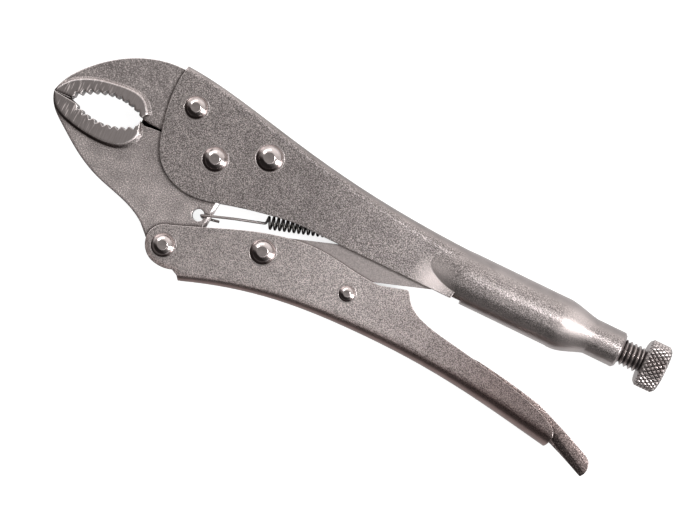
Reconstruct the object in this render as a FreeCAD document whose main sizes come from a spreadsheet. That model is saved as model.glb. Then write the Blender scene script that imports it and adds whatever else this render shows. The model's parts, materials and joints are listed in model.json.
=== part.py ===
import FreeCAD, Part
import Sketcher
import math
import os

# Locking pliers, ten inch size, with curved jaws.
#
# Frame, in millimetres: the origin is on the jaw pivot's axis, at the level of the
# rivet heads' flats that the tool lies on.  +X runs along the adjusting screw from the
# jaws to the knob, +Y from the lever to the spine of the upper handle, and +Z up, along
# the pivots.  Every sub-part is drawn about its own middle plane and then lifted by
# mid_height, so the two sides of the tool are alike.

DIMENSIONS = [
    ("mid_height", 9.25, "middle plane above the rivet flats"),
    ("sheet_thick", 2.2, "sheet steel of the two handles"),
    ("plate_width", 12.8, "outside width of the folded handles"),
    ("nose_bend", 2.0, "outside bend of the upper handle's spine, at the nose"),
    ("spine_bend", 5.6, "the same at the grip"),
    ("web_bend", 3.0, "outside bend of the lever's web, at the front"),
    ("tail_bend", 6.2, "the same at the tail"),
    ("fixed_jaw_thick", 8.4, "fixed jaw, a push fit between the side plates"),
    ("moving_jaw_thick", 7.9, "moving jaw, free between the side plates"),
    ("ring_thick", 10.8, "forged ring round the mouth"),
    ("link_thick", 7.2, "toggle link"),
    ("link_width", 12.3, "toggle link across its length"),
    ("tail_radius", 4.4, "rounded tail of the toggle link"),
    ("trough_width", 7.8, "release lever, free inside the lever"),
    ("trough_sheet", 1.4, "sheet steel of the release lever"),
    ("running_gap", 0.05, "radial clearance of every turning fit"),
    ("front_rivet_x", -14.5, "front rivet of the fixed jaw"),
    ("front_rivet_y", 14.1, ""),
    ("rear_rivet_x", 17.9, "rear rivet of the fixed jaw"),
    ("rear_rivet_y", 9.1, ""),
    ("lever_pivot_x", -3.6, "pivot of the lever on the moving jaw"),
    ("lever_pivot_y", -36.7, ""),
    ("link_pivot_x", 30.5, "pivot of the toggle link on the lever"),
    ("link_pivot_y", -23.0, ""),
    ("release_pivot_x", 65.1, "pivot of the release lever on the lever"),
    ("release_pivot_y", -23.4, ""),
    ("shank_radius", 2.6, "shank of the large rivets"),
    ("small_shank_radius", 1.8, "shank of the release lever's rivet"),
    ("small_rivet_height", 1.7, "head of that rivet above the plate"),
    ("hub_radius", 10.9, "round back of the moving jaw, about the jaw pivot"),
    ("hub_clearance", 11.6, "hollow in the fixed jaw round that hub"),
    ("screw_axis_y", 1.6, "axis of the adjusting screw"),
    ("toggle_end_x", 103.0, "centre of the toggle link's rounded tail"),
    ("screw_radius", 4.95, "adjusting screw, outside its thread"),
    ("spigot_radius", 3.4, "end of the screw that the knob turns on"),
    ("screw_tip_x", 113.0, "inner end of the screw"),
    ("neck_end_x", 165.4, "end face of the threaded neck"),
    ("neck_radius", 6.9, "threaded neck of the upper handle"),
    ("knob_start_x", 174.2, "inner face of the knob"),
    ("knob_length", 8.7, "knob along the screw"),
    ("knob_radius", 9.2, "knob over its knurls"),
    ("upper_notches", 10, "notches between the teeth of the fixed jaw"),
    ("lower_notches", 9, "notches between the teeth of the moving jaw"),
    ("tooth_depth", 1.25, "depth of the notches"),
    ("spring_hole_radius", 2.35, "hole for the spring in the moving jaw"),
    ("wire_radius", 0.5, "spring wire"),
    ("coil_radius", 2.65, "outside of the spring's coil"),
    ("tongue_width", 3.2, "tongue that holds the spring under the spine"),
    ("seam_width", 0.8, "seam under the grip"),
    ("tab_chamfer", 1.1, "chamfer at the end of the moving jaw's tab"),
]

doc = FreeCAD.newDocument("LockingPliers")
sheet = doc.addObject("Spreadsheet::Sheet", "Dims")
for row, (alias, value, note) in enumerate(DIMENSIONS, start=1):
    sheet.set("A%d" % row, alias)
    sheet.set("B%d" % row, "%g" % value)
    sheet.set("C%d" % row, note)
    sheet.setAlias("B%d" % row, alias)
doc.recompute()

SUB_PARTS = []
Z_AXIS = FreeCAD.Vector(0, 0, 1)


def dim(alias):
    """Value of one driving dimension, read from the sheet."""
    return float(sheet.get(alias))


def point(x, y):
    return FreeCAD.Vector(x, y, 0)


# ---------------------------------------------------------------- drawing helpers

def new_body(label, x=None, y=None):
    """A body for one sub-part, placed by the named sheet cells and the mid height."""
    body = doc.addObject("PartDesign::Body", "Body_" + label)
    body.Label = label
    if x:
        body.setExpression("Placement.Base.x", "Dims." + x)
    if y:
        body.setExpression("Placement.Base.y", "Dims." + y)
    body.setExpression("Placement.Base.z", "Dims.mid_height")
    SUB_PARTS.append(body)
    return body


def new_sketch(body, name, role="XY_Plane", offset=0.0):
    """An empty sketch on one of the body's own origin planes, or parallel to it."""
    sketch = body.newObject("Sketcher::SketchObject", name)
    plane = next(f for f in body.Origin.OriginFeatures if f.Role == role)
    sketch.AttachmentSupport = [(plane, "")]
    sketch.MapMode = "FlatFace"
    sketch.AttachmentOffset = FreeCAD.Placement(FreeCAD.Vector(0, 0, offset),
                                                FreeCAD.Rotation())
    return sketch


class Outline:
    """A closed outline in a sketch, drawn leg after leg and joined end to end."""

    def __init__(self, sketch, start):
        self.sketch = sketch
        self.start = start
        self.here = start
        self.legs = []

    def add(self, geometry, first=1, last=2):
        index = self.sketch.addGeometry(geometry)
        if self.legs:
            self.join(self.legs[-1], (index, first, last))
        self.legs.append((index, first, last))

    def join(self, before, after):
        self.sketch.addConstraint(
            Sketcher.Constraint("Coincident", before[0], before[2], after[0], after[1]))

    def line(self, *corners):
        for corner in corners:
            self.add(Part.LineSegment(point(*self.here), point(*corner)))
            self.here = corner
        return self

    def arc(self, middle, end):
        a, b, c = point(*self.here), point(*middle), point(*end)
        if (b - a).cross(c - b).z > 0:
            self.add(Part.Arc(a, b, c))
        else:
            self.add(Part.Arc(c, b, a), 2, 1)
        self.here = end
        return self

    def arcs(self, *points):
        """A row of arcs: each one passes through a point and ends at the next."""
        for middle, end in zip(points[0::2], points[1::2]):
            self.arc(middle, end)
        return self

    def curve(self, *through):
        spline = Part.BSplineCurve()
        spline.interpolate([point(*self.here)] + [point(*p) for p in through])
        self.add(spline)
        self.here = through[-1]
        return self

    def close(self):
        if math.dist(self.here, self.start) > 1e-6:
            self.line(self.start)
        self.join(self.legs[-1], self.legs[0])
        return self.sketch


def circle(sketch, x, y, radius):
    """A circle whose centre and radius follow three expressions of the sheet."""
    index = sketch.addGeometry(Part.Circle(point(1, 1), Z_AXIS, 1.0))
    for kind, expression, ends in (("DistanceX", x, (-1, 1, index, 3)),
                                   ("DistanceY", y, (-1, 1, index, 3)),
                                   ("Radius", radius, (index,))):
        constraint = sketch.addConstraint(Sketcher.Constraint(kind, *ends, 1.0))
        sketch.setExpression("Constraints[%d]" % constraint, expression)
    return sketch


def pad(body, sketch, name, width):
    """Extrude a sketch to both sides of its plane, to a total width from the sheet."""
    feature = body.newObject("PartDesign::Pad", name)
    feature.Profile = sketch
    feature.SideType = "Symmetric"
    feature.setExpression("Length", width)
    doc.recompute()
    return feature


def pocket(body, sketch, name, width=None):
    """Cut a sketch through the body both ways, or to a total width from the sheet."""
    before = body.Shape.Volume
    feature = body.newObject("PartDesign::Pocket", name)
    feature.Profile = sketch
    feature.SideType = "Symmetric"
    if width:
        feature.setExpression("Length", width)
    else:
        feature.Type = "ThroughAll"
    doc.recompute()
    if body.Shape.Volume > before - 1e-3:
        raise RuntimeError(name + " cuts nothing")
    return feature


def revolve(body, sketch, name, axis="H_Axis"):
    """Turn a sketch about one of its own axes into a solid."""
    feature = body.newObject("PartDesign::Revolution", name)
    feature.Profile = sketch
    feature.ReferenceAxis = (sketch, [axis])
    feature.Angle = 360
    doc.recompute()
    return feature


def loft(body, sketches, name, cut=False):
    """Loft smoothly through a row of sketches, or cut a hollow straight between them."""
    kind = "PartDesign::SubtractiveLoft" if cut else "PartDesign::AdditiveLoft"
    feature = body.newObject(kind, name)
    feature.Profile = sketches[0]
    feature.Sections = sketches[1:]
    feature.Ruled = cut
    doc.recompute()
    return feature


def extrude(body, sketch, name, length, cut=False):
    """Pad a sketch forward by a length, or pocket it as far back from its plane."""
    feature = body.newObject("PartDesign::Pocket" if cut else "PartDesign::Pad", name)
    feature.Profile = sketch
    feature.Length = length
    doc.recompute()
    return feature


def chamfer(body, name, size, choose):
    """Chamfer the edges of the body's last feature that choose() accepts."""
    base = body.Tip
    edges = ["Edge%d" % n for n, edge in enumerate(base.Shape.Edges, start=1)
             if choose(edge)]
    if not edges:
        raise RuntimeError(name + " finds no edge")
    feature = body.newObject("PartDesign::Chamfer", name)
    feature.Base = (base, edges)
    feature.setExpression("Size", size)
    doc.recompute()
    return feature


def folded_bar(body, fold, stations, bends, far):
    """Solid bar in the outside form of a folded sheet, whose bend grows along the fold.

    Each station gives a section: flat sides, and a corner arc on each side of the fold.
    The arc's radius grows with the square of the distance from the first bend to the
    second.  The sides end at the level far, beyond the finished outline.
    """
    half = dim("plate_width") / 2
    front, rear = dim(bends[0]), dim(bends[1])
    inward = math.copysign(1.0, far - fold[0][1])
    sketches = []
    for number, x in enumerate(stations):
        share = max(x - fold[0][0], 0.0) / (fold[-1][0] - fold[0][0])
        bend = front + (rear - front) * share ** 2
        mid_bend = bend * (1 - math.sqrt(0.5))
        level = height_on(fold, x)
        sketch = new_sketch(body, "Fold_%d" % number, "YZ_Plane", x)
        section = Outline(sketch, (far, -half)).line((level + inward * bend, -half))
        section.arc((level + inward * mid_bend, mid_bend - half), (level, bend - half))
        section.line((level, half - bend))
        section.arc((level + inward * mid_bend, half - mid_bend),
                    (level + inward * bend, half))
        sketches.append(section.line((far, half)).close())
    loft(body, sketches, "FoldedBar")


def trim(body, outline):
    """Cut away everything outside an outline, through both sides of the body."""
    border = Outline(outline.sketch, (-60.0, -80.0))
    border.line((220.0, -80.0), (220.0, 60.0), (-60.0, 60.0)).close()
    pocket(body, outline.sketch, "Trim")


def middle_of(edge):
    """Middle point of an edge, in the body's own frame."""
    return edge.valueAt((edge.FirstParameter + edge.LastParameter) / 2)


def raised(points, rise):
    """The same points moved along +Y, for the inner face of a folded sheet."""
    return [(x, y + rise) for x, y in points]


def circle_through(a, b, c):
    """Centre and radius of the circle through three points."""
    found = Part.Arc(point(*a), point(*b), point(*c)).toShape().Curve
    return (found.Center.x, found.Center.y), found.Radius


def height_on(arcs, x):
    """Height at x of a row of arcs; the end arcs carry on beyond their ends."""
    last = next((n for n in range(2, len(arcs), 2) if x <= arcs[n][0]), len(arcs) - 1)
    centre, radius = circle_through(*arcs[last - 2:last + 1])
    rise = math.sqrt(radius ** 2 - (x - centre[0]) ** 2)
    return centre[1] + math.copysign(rise, arcs[last][1] - centre[1])


def polar(centre, radius, angle):
    """Point at an angle, in radians, on a circle."""
    return (centre[0] + radius * math.cos(angle), centre[1] + radius * math.sin(angle))


# ---------------------------------------------------------------- upper handle

# Edges of the folded sheet: the spine as three long arcs, and the nose and underside.
SPINE = [(-23.7, 26.6), (-8.0, 24.9), (8.0, 22.0), (22.0, 19.2), (36.0, 16.5), (56.0, 13.7),
         (104.0, 10.6)]
NOSE = [(-24.6, 16.4), (-22.7, 3.2), (-17.5, -9.4), (-4.1, -15.9), (10.5, -13.4),
        (26.0, -9.9), (46.0, -8.3)]

# Oval sections of the tubular grip: station, half width, lowest and highest point.
# The sheet swells out of the side plates, runs straight, and closes down to the neck.
GRIP_SWELL = [(84.0, 5.6, -6.4, 8.6), (90.0, 6.9, -7.7, 9.9), (96.5, 8.2, -8.6, 10.6),
              (103.0, 8.75, -8.85, 10.85)]
GRIP_CLOSE = [(139.0, 8.75, -8.85, 10.85), (145.0, 8.4, -8.3, 10.3), (149.5, 7.5, -6.6, 9.2),
              (153.0, 6.9, -5.3, 8.5)]
HOLLOW_END = 146.0


def grip_sections(body, name, inset, stations):
    """Ovals of four arcs across the grip, each smaller than the outside by the inset."""
    sketches = []
    for number, (x, half, low, high) in enumerate(stations):
        sketch = new_sketch(body, "%s_%d" % (name, number), "YZ_Plane", x)
        centre, tall, wide = (high + low) / 2, (high - low) / 2 - inset, half - inset
        ring = [(centre + tall * math.cos(turn), wide * math.sin(turn))
                for turn in (math.radians(45 * step) for step in range(-1, 8))]
        ring[-1] = ring[0]
        sketches.append(Outline(sketch, ring[0]).arcs(*ring[1:]).close())
    return sketches


def grip(body):
    """The outside of the grip: it swells, runs straight and closes down to the neck."""
    loft(body, grip_sections(body, "Swell", 0.0, GRIP_SWELL), "SwellLoft")
    oval = grip_sections(body, "Oval", 0.0, GRIP_SWELL[-1:])[0]
    extrude(body, oval, "Straight", GRIP_CLOSE[0][0] - GRIP_SWELL[-1][0])
    loft(body, grip_sections(body, "Close", 0.0, GRIP_CLOSE), "CloseLoft")


def grip_hollow(body, wall):
    """The room inside the grip, which widens from the plates and ends before the neck."""
    widening = grip_sections(body, "Widening", wall, GRIP_SWELL[1::2])
    loft(body, widening, "WideningHollow", cut=True)
    full = GRIP_SWELL[-1]
    oval = grip_sections(body, "InnerOval", wall, [(HOLLOW_END,) + full[1:]])[0]
    extrude(body, oval, "StraightHollow", HOLLOW_END - full[0], cut=True)


# Ends of the spring's coil, and the bend of its rear hook behind the tongue.
SPRING_START = (26.8, -12.6)
SPRING_END = (66.6, 0.0)
SPRING_HOOK = (72.4, 1.7)


def upper_handle():
    """Sheet steel folded along its spine, drawn round into a grip and a neck."""
    body = new_body("upper_handle")
    sheet_thick = dim("sheet_thick")

    folded_bar(body, SPINE, (-26.0, 0.0, 26.0, 52.0, 78.0, 104.0),
               ("nose_bend", "spine_bend"), -20.0)
    side = Outline(new_sketch(body, "Side"), SPINE[0])
    side.curve(*NOSE).line((100.0, -8.3), SPINE[-1], (SPINE[-1][0], 40.0))
    side.line((SPINE[0][0], 40.0)).close()
    trim(body, side)
    grip(body)

    start, end = GRIP_CLOSE[-1][0], dim("neck_end_x")
    radius = dim("neck_radius")
    neck = Outline(new_sketch(body, "NeckSide"), (start, 0.0))
    neck.sketch.setExpression("AttachmentOffset.Base.y", "Dims.screw_axis_y")
    neck.line((end, 0.0), (end, radius - 0.8), (end - 0.8, radius), (start, radius)).close()
    revolve(body, neck.sketch, "Neck")

    # The space between the side plates runs back to where the grip closes underneath.
    under_spine = raised(SPINE, -sheet_thick - 0.05)
    channel = Outline(new_sketch(body, "Channel"), (-40.0, -30.0))
    channel.line((104.0, -30.0), under_spine[-1]).arcs(*under_spine[-2::-1])
    channel.line((-40.0, under_spine[0][1] + 3.0)).close()
    pocket(body, channel.sketch, "BetweenPlates", "Dims.plate_width - 2 * Dims.sheet_thick")
    grip_hollow(body, sheet_thick)

    seam = Outline(new_sketch(body, "Seam"), (101.0, -12.0))
    seam.line((151.0, -12.0), (151.0, -3.0), (145.0, -5.0), (101.0, -5.0)).close()
    pocket(body, seam.sketch, "GripSeam", "Dims.seam_width")
    hook_x, hook_y = SPRING_HOOK
    tongue = Outline(new_sketch(body, "Tongue"), (hook_x - 2.6, hook_y - 2.1))
    tongue.line((hook_x - 0.7, hook_y - 2.1), (hook_x - 0.7, hook_y + 2.0))
    tongue.line((hook_x + 1.6, 11.0), (hook_x - 0.8, 11.2)).close()
    pad(body, tongue.sketch, "SpringTongue", "Dims.tongue_width")

    bore = new_sketch(body, "Bore", "YZ_Plane")
    circle(bore, "Dims.screw_axis_y", "0", "Dims.screw_radius + Dims.running_gap")
    bore.setExpression("AttachmentOffset.Base.z", "Dims.neck_end_x")
    extrude(body, bore, "NeckBore", 22.0, cut=True)

    holes = new_sketch(body, "RivetHoles")
    for x, y in (("front_rivet_x", "front_rivet_y"), ("rear_rivet_x", "rear_rivet_y")):
        circle(holes, "Dims." + x, "Dims." + y, "Dims.shank_radius")
    circle(holes, "0", "0", "Dims.shank_radius")
    pocket(body, holes, "Holes")
    return body


# ---------------------------------------------------------------- jaws

# Tooth roots of the two halves of the mouth: three points of each arc.
UPPER_MOUTH = ((-58.5, -1.2), (-45.5, 5.6), (-31.0, 3.2))
LOWER_MOUTH = ((-55.7, -4.8), (-42.7, -7.1), (-30.4, -2.1))
SPLIT = -2.8
SPLIT_GAP = 0.3

FIXED_BACK = [(-63.3, 1.4), (-56.4, 10.9), (-46.8, 18.6), (-36.0, 23.5), (-24.2, 25.0)]
FIXED_RING = [(-62.1, 1.0), (-54.3, 6.4), (-43.2, 9.0), (-34.4, 8.5), (-30.2, 4.0)]
FIXED_FLANK = [(-62.5, 1.8), (-54.6, 7.6), (-43.2, 10.2), (-33.2, 10.0), (-28.4, 4.4)]
MOVING_BACK = [(-62.3, -7.8), (-56.2, -13.1), (-47.0, -19.5), (-37.0, -24.4), (-21.2, -29.3),
               (-14.8, -32.9)]
MOVING_RING = [(-61.4, -7.4), (-54.3, -10.5), (-43.5, -12.0), (-34.0, -10.1), (-29.9, -3.8)]
MOVING_FLANK = [(-61.5, -8.0), (-54.0, -11.6), (-43.4, -13.1), (-32.6, -11.4), (-28.0, -3.8)]


def mouth(roots, inner=0.0):
    """Centre, radius and end angles of a mouth arc, pulled in by the given depth."""
    centre, radius = circle_through(*roots)
    angles = [math.atan2(p[1] - centre[1], p[0] - centre[0]) for p in roots]
    return centre, radius - inner, angles


def mouth_points(roots, inner):
    """Front, middle and rear point of the arc through the teeth's tips."""
    centre, radius, angles = mouth(roots, inner)
    return [polar(centre, radius, angle) for angle in angles]


def cut_teeth(body, roots, count):
    """V notches side by side along the mouth's arc, leaving narrow lands between."""
    centre, radius, angles = mouth(roots)
    tip_radius = radius - dim("tooth_depth") - 0.1
    step = (angles[2] - angles[0]) / (count + 0.4)
    sketch = new_sketch(body, "Teeth")
    for number in range(count):
        middle = angles[0] + (number + 0.7) * step
        notch = Outline(sketch, polar(centre, tip_radius, middle - 0.45 * step))
        notch.line(polar(centre, radius, middle),
                   polar(centre, tip_radius, middle + 0.45 * step)).close()
    pocket(body, sketch, "ToothNotches")


def raise_ring(body, tip, ring, flank, rear, arc, thick):
    """The thicker ring round a mouth, whose flanks slope down to the jaw's sides."""
    base, top = dim(thick) / 2 - 0.1, dim("ring_thick") / 2
    inside_tip = (tip[0] + 0.6, tip[1])
    for side in (1, -1):
        sections = []
        for name, border, level in (("Flank", flank, base), ("Ring", ring, top)):
            sketch = new_sketch(body, "%s_%+d" % (name, side), offset=side * level)
            outline = Outline(sketch, inside_tip).curve(*border).line(rear)
            outline.line(arc[2]).arc(arc[1], arc[0]).close()
            sections.append(sketch)
        loft(body, sections, "RaisedRing_%+d" % side)


def fixed_jaw():
    """Forged upper jaw: its tang lies between the plates and hollows round the hub."""
    body = new_body("fixed_jaw")
    hub = dim("hub_clearance")
    low = SPLIT + SPLIT_GAP / 2
    tip = (-64.6, low)
    arc = mouth_points(UPPER_MOUTH, dim("tooth_depth"))
    rear = (-31.0, 2.0)

    side = Outline(new_sketch(body, "Side"), tip).curve(*FIXED_BACK)
    side.line((-24.0, 24.1)).curve((7.6, 19.6), (20.5, 17.1))
    side.arc((27.0, 9.5), (20.0, 0.9)).line((hub, 0.9))
    side.arc((0.0, hub), (-hub, 1.0)).line((-22.2, 1.15), (-28.1, 1.35), rear, arc[2])
    side.arc(arc[1], arc[0]).line((-57.4, low)).close()
    pad(body, side.sketch, "Forging", "Dims.fixed_jaw_thick")
    raise_ring(body, tip, FIXED_RING, FIXED_FLANK, rear, arc, "fixed_jaw_thick")
    cut_teeth(body, UPPER_MOUTH, int(dim("upper_notches")))

    holes = new_sketch(body, "RivetHoles")
    for x, y in (("front_rivet_x", "front_rivet_y"), ("rear_rivet_x", "rear_rivet_y")):
        circle(holes, "Dims." + x, "Dims." + y, "Dims.shank_radius")
    pocket(body, holes, "Holes")
    return body


def moving_jaw():
    """Forged lower jaw with a round hub, a tab for the spring and an eye for the lever."""
    body = new_body("moving_jaw")
    hub = dim("hub_radius")
    eye = (dim("lever_pivot_x"), dim("lever_pivot_y"))
    high = SPLIT - SPLIT_GAP / 2
    tip = (-64.6, high)
    arc = mouth_points(LOWER_MOUTH, dim("tooth_depth"))
    rear = (-30.9, 0.7)

    side = Outline(new_sketch(body, "Side"), tip).curve(*MOVING_BACK)
    side.line(polar(eye, 6.3, math.radians(190)))
    side.arc(polar(eye, 6.3, math.radians(270)), polar(eye, 6.3, math.radians(10)))
    side.line((7.5, -24.3), (8.3, -13.6), (9.4, -5.5))
    side.arc((0.0, hub), (-hub, 0.3)).line((-22.2, 0.45), (-26.6, 0.1), (-29.0, -0.3))
    side.line(rear, arc[2]).arc(arc[1], arc[0]).line((-57.4, high)).close()
    pad(body, side.sketch, "Forging", "Dims.moving_jaw_thick")
    raise_ring(body, tip, MOVING_RING, MOVING_FLANK, rear, arc, "moving_jaw_thick")
    cut_teeth(body, LOWER_MOUTH, int(dim("lower_notches")))

    holes = new_sketch(body, "PivotHoles")
    circle(holes, "0", "0", "Dims.shank_radius + Dims.running_gap")
    circle(holes, "Dims.lever_pivot_x", "Dims.lever_pivot_y",
           "Dims.shank_radius + Dims.running_gap")
    circle(holes, "3.1", "-21.2", "Dims.spring_hole_radius")
    pocket(body, holes, "Holes")
    half = dim("moving_jaw_thick") / 2
    chamfer(body, "TabChamfer", "Dims.tab_chamfer",
            lambda edge: 7.9 < middle_of(edge).x < 9.0 and edge.Length > 6
            and abs(abs(middle_of(edge).z) - half) < 0.01)
    return body


# ---------------------------------------------------------------- rivets

DOME_CONES = 2


def rivet(label, x, y, head_radius, height="Dims.mid_height", shank="shank_radius"):
    """A rivet with two domed heads, each with a flat facet, closed over the plates."""
    body = new_body(label, x, y)
    plate, top = dim("plate_width") / 2, dim("mid_height")
    if height != "Dims.mid_height":
        top = plate + dim("small_rivet_height")
    radius = dim(shank)
    flat = 0.42 * head_radius
    # The dome is cut as cones that touch a sphere about the axis, from the head's rim
    # up to the rim of the facet.
    centre = (top + plate - (head_radius ** 2 - flat ** 2) / (top - plate)) / 2
    sphere = math.hypot(flat, top - centre)
    rim, crest = math.atan2(head_radius, plate - centre), math.atan2(flat, top - centre)
    turns = [rim + (crest - rim) * step / DOME_CONES for step in range(DOME_CONES + 1)]
    dome = [(sphere * math.sin(turn), centre + sphere * math.cos(turn)) for turn in turns]
    half = Outline(new_sketch(body, "HalfSection", "XZ_Plane"), (0.0, -top))
    half.line(*[(x, -y) for x, y in reversed(dome)])
    half.line((radius, -plate), (radius, plate), *dome, (0.0, top)).close()
    revolve(body, half.sketch, "Turned", "V_Axis")
    return body


# ---------------------------------------------------------------- lever

LEVER_FRONT = [(-8.9, -31.5), (-10.5, -36.0), (-9.1, -40.4), (-5.2, -43.5)]
LEVER_TOP = [(2.5, -26.2), (20.0, -19.2), (34.7, -14.8), (49.6, -13.2), (60.0, -14.3),
             (74.6, -15.5)]
LEVER_HUMP = [(80.0, -14.0), (84.8, -12.5)]
LEVER_TAIL_TOP = [(89.3, -17.6), (98.1, -21.4), (111.5, -23.8), (130.0, -27.2),
                  (148.0, -31.7), (153.4, -34.1)]
LEVER_BOTTOM = [(6.9, -46.2), (31.0, -39.1), (60.0, -35.0), (84.0, -34.75), (108.0, -35.7),
                (131.0, -38.65), (155.0, -42.5)]


def lever():
    """Sheet steel folded along its web into a channel that opens to the upper handle."""
    body = new_body("lever")
    sheet_thick = dim("sheet_thick")

    folded_bar(body, LEVER_BOTTOM, (-12.0, 16.0, 44.0, 72.0, 100.0, 128.0, 157.0),
               ("web_bend", "tail_bend"), -8.0)
    side = Outline(new_sketch(body, "Side"), (-4.5, -28.9))
    side.curve(*LEVER_TOP).curve(*LEVER_HUMP).line((85.6, -12.9), (87.0, -15.2))
    side.curve(*LEVER_TAIL_TOP).curve((155.7, -36.3), (156.1, -38.8), LEVER_BOTTOM[-1])
    side.line((LEVER_BOTTOM[-1][0], -60.0), (LEVER_BOTTOM[0][0], -60.0), LEVER_BOTTOM[0])
    side.line((5.8, -44.6), (3.4, -43.4)).arc((-0.8, -44.2), LEVER_FRONT[-1])
    side.arcs(*LEVER_FRONT[-2::-1], side.start).close()
    trim(body, side)

    floor = raised(LEVER_BOTTOM, sheet_thick)
    channel = Outline(new_sketch(body, "Channel"), (-30.0, -60.0))
    channel.line((5.6, -60.0), (7.9, floor[0][1])).arcs(*floor[1:])
    channel.line((170.0, floor[-1][1] - 1.5), (170.0, 0.0), (-30.0, 0.0)).close()
    pocket(body, channel.sketch, "BetweenWalls", "Dims.plate_width - 2 * Dims.sheet_thick")

    holes = new_sketch(body, "PivotHoles")
    for x, y, radius in (("lever_pivot_x", "lever_pivot_y", "shank_radius"),
                         ("link_pivot_x", "link_pivot_y", "shank_radius"),
                         ("release_pivot_x", "release_pivot_y", "small_shank_radius")):
        circle(holes, "Dims." + x, "Dims." + y, "Dims." + radius)
    pocket(body, holes, "Holes")
    return body


def toggle_link():
    """Flat bar from its eye on the lever to the rounded tail behind the screw's tip."""
    body = new_body("toggle_link")
    radius, nose = dim("link_width") / 2, dim("tail_radius")
    eye = (dim("link_pivot_x"), dim("link_pivot_y"))
    tail = (dim("toggle_end_x"), dim("screw_axis_y"))
    slope = math.atan2(tail[1] - eye[1], tail[0] - eye[0])
    left, right = slope + math.pi / 2, slope - math.pi / 2
    neck = polar(tail, 2.2 * radius, slope + math.pi)
    side = Outline(new_sketch(body, "Side"), polar(eye, radius, left))
    side.arc(polar(eye, radius, slope + math.pi), polar(eye, radius, right))
    side.line(polar(neck, radius, right), polar(tail, nose, right))
    side.arc(polar(tail, nose, slope), polar(tail, nose, left))
    side.line(polar(neck, radius, left)).close()
    pad(body, side.sketch, "Bar", "Dims.link_thick")
    hole = new_sketch(body, "Eye")
    circle(hole, "Dims.link_pivot_x", "Dims.link_pivot_y",
           "Dims.shank_radius + Dims.running_gap")
    pocket(body, hole, "EyeHole")
    return body


# ---------------------------------------------------------------- release lever

RELEASE_TOP = [(75.5, -17.0), (84.0, -18.8), (100.0, -22.9), (120.4, -24.9), (138.0, -27.6),
               (147.2, -29.5), (157.2, -33.3), (170.5, -38.9)]


def release_lever():
    """Small trough inside the lever, with a heel under the link and a tail to press."""
    body = new_body("release_lever")
    pivot = (dim("release_pivot_x"), dim("release_pivot_y"))
    lift = dim("sheet_thick") + 0.3
    floor = raised([(70.0, -34.8)] + LEVER_BOTTOM[3:], lift)
    thin = dim("trough_sheet")

    side = Outline(new_sketch(body, "Side"), polar(pivot, 4.6, math.radians(100)))
    side.line((71.5, -17.4)).arcs(*RELEASE_TOP)
    side.arc((173.1, -42.4), (171.7, -46.7)).arc((164.0, -43.4), floor[-1])
    side.arcs(*floor[-2::-1]).line(polar(pivot, 4.6, math.radians(260)))
    side.arc(polar(pivot, 4.6, math.radians(190)), side.start).close()
    pad(body, side.sketch, "Walls", "Dims.trough_width")

    inner = raised([(170.8, -46.4), (164.0, -43.4)] + floor[:1:-1], thin)
    trough = Outline(new_sketch(body, "Trough"), (171.5, -10.0))
    trough.line(inner[0]).arcs(*inner[1:]).line((80.0, inner[-1][1]), (80.0, -10.0)).close()
    pocket(body, trough.sketch, "BetweenWalls", "Dims.trough_width - 2 * Dims.trough_sheet")
    hole = new_sketch(body, "Pivot")
    circle(hole, "Dims.release_pivot_x", "Dims.release_pivot_y",
           "Dims.small_shank_radius + Dims.running_gap")
    pocket(body, hole, "PivotHole")
    return body


# ---------------------------------------------------------------- screw, knob and spring

def adjusting_screw():
    """Screw with a domed tip, and a spigot at its outer end for the knob."""
    body = new_body("adjusting_screw", y="screw_axis_y")
    tip, start = dim("screw_tip_x"), dim("knob_start_x")
    radius, spigot = dim("screw_radius"), dim("spigot_radius")
    half = Outline(new_sketch(body, "HalfSection"), (tip, 0.0))
    half.line((tip, 0.45 * radius), (tip + 0.6, 0.82 * radius), (tip + 2.2, radius))
    half.line((start, radius))
    half.line((start, spigot), (start + 6.0, spigot), (start + 6.0, 0.0)).close()
    revolve(body, half.sketch, "Turned")
    return body


def adjusting_knob():
    """Knurled knob with chamfered rims, bored blind for the screw's spigot."""
    body = new_body("adjusting_knob", y="screw_axis_y")
    start, length = dim("knob_start_x"), dim("knob_length")
    radius = dim("knob_radius")
    bore = dim("spigot_radius") + dim("running_gap")
    end = start + length
    inside = start + 0.1
    half = Outline(new_sketch(body, "HalfSection"), (inside, bore))
    half.line((inside, radius - 0.9), (inside + 0.9, radius), (end - 1.1, radius))
    half.line((end, radius - 1.1), (end, 0.0), (start + 6.1, 0.0), (start + 6.1, bore)).close()
    revolve(body, half.sketch, "Turned")
    return body


def bent_wire(corners, radius):
    """Round wire along straight runs, with a sharp mitre at each corner."""
    path = Part.makePolygon(corners)
    across = Part.Circle(corners[0], corners[1] - corners[0], radius).toShape()
    return path.makePipeShell([Part.Wire(across)], True, False, 1)


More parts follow.
